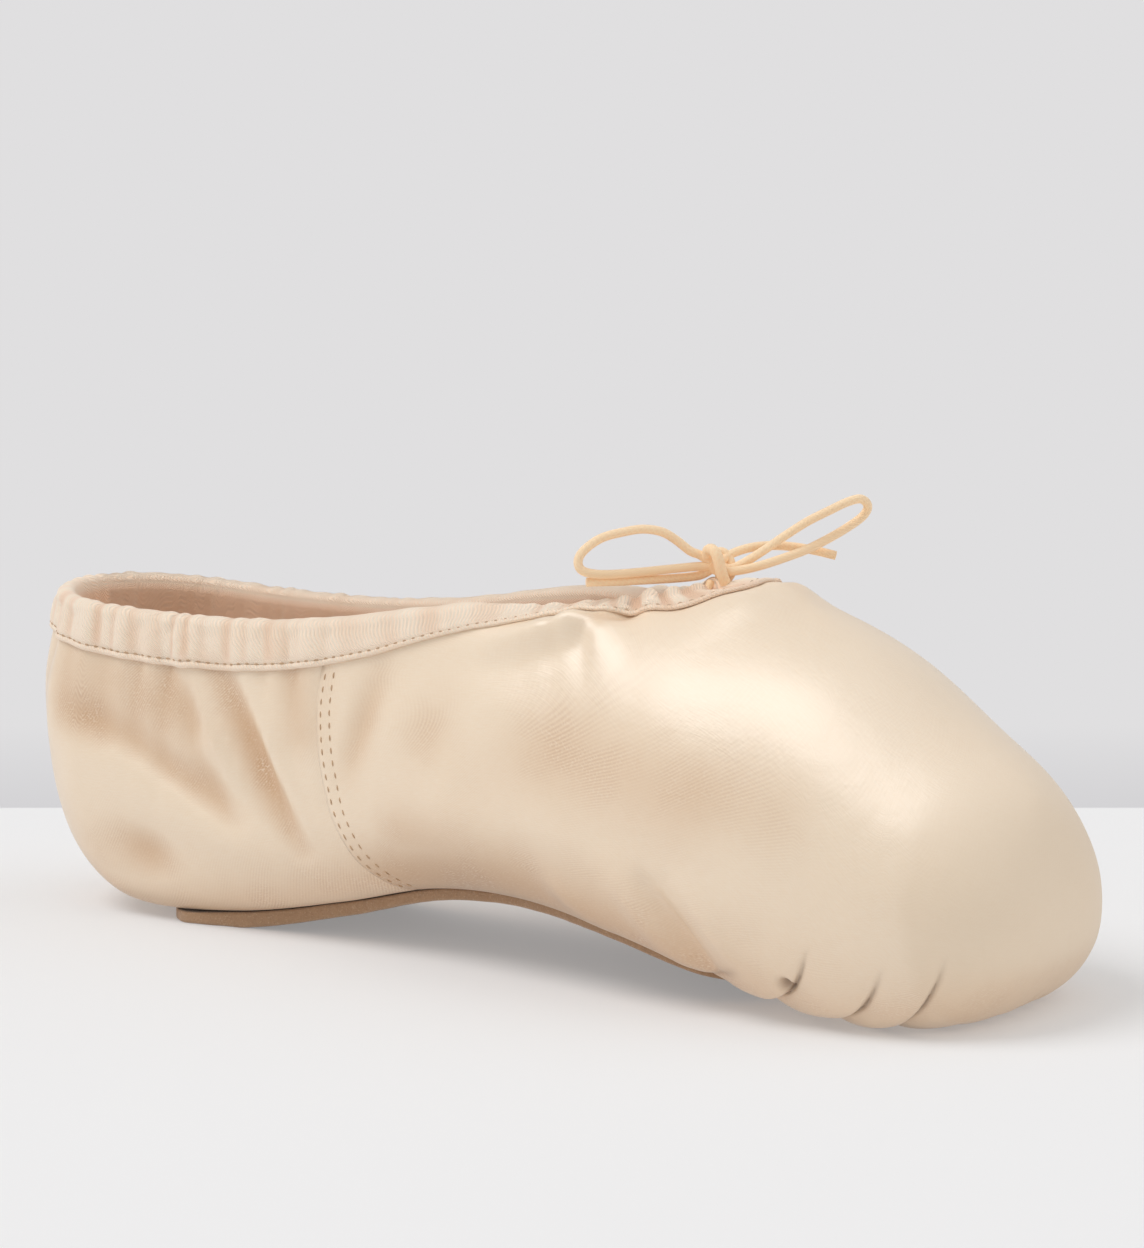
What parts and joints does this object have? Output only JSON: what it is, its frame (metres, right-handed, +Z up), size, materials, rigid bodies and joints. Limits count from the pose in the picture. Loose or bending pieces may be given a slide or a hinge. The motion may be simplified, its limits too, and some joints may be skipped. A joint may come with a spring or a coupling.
{
  "type": "ballet pointe shoe",
  "caption": "Satin pointe shoe with a hardened box, pleated toe, narrow leather outsole, bound opening and a drawstring tied in a bow.",
  "frame": {"origin": "centre of the shoe's footprint, on the surface that it stands on", "axes": "+X from the heel to the toe, +Z up, +Y to the left"},
  "size_m": [0.2362, 0.0808, 0.0911],
  "materials": {
    "satin": "lustrous peach satin",
    "twill": "matt cotton twill",
    "tape": "matt bias tape",
    "cord": "fine braided elastic",
    "sole_leather": "napped split leather",
    "shank_board": "hard leather board",
    "insole_fibre": "pressed fibre board",
    "box_paste": "hessian and paper set in paste",
    "brass_tack": "plain"
  },
  "bodies": {
    "forefoot": {"vamp_satin": "satin", "vamp_lining": "twill", "toe_box": "box_paste", "platform_disc": "insole_fibre", "outsole": "sole_leather", "insole_board": "insole_fibre", "shank": "shank_board", "sock_lining": "twill", "binding": "tape", "drawstring": "cord", "bow_knot": "cord", "bow_loop_left": "cord", "bow_loop_right": "cord", "bow_tail_left": "cord", "bow_tail_right": "cord"},
    "heel": {"quarter_satin_left": "satin", "quarter_satin_right": "satin", "quarter_lining_left": "twill", "quarter_lining_right": "twill", "shank_tack_1": "brass_tack", "shank_tack_2": "brass_tack"}
  },
  "joints": [
    {"name": "shank_flex", "type": "hinge", "parent": "forefoot", "child": "heel", "pos_m": [-0.008, 0, 0.012], "axis": [0, 1, 0], "range_deg": [-8, 30], "stiffness_Nm_per_rad": 1.5, "deforming": ["outsole", "insole_board", "shank", "sock_lining", "vamp_satin", "vamp_lining", "binding", "drawstring"]}
  ]
}
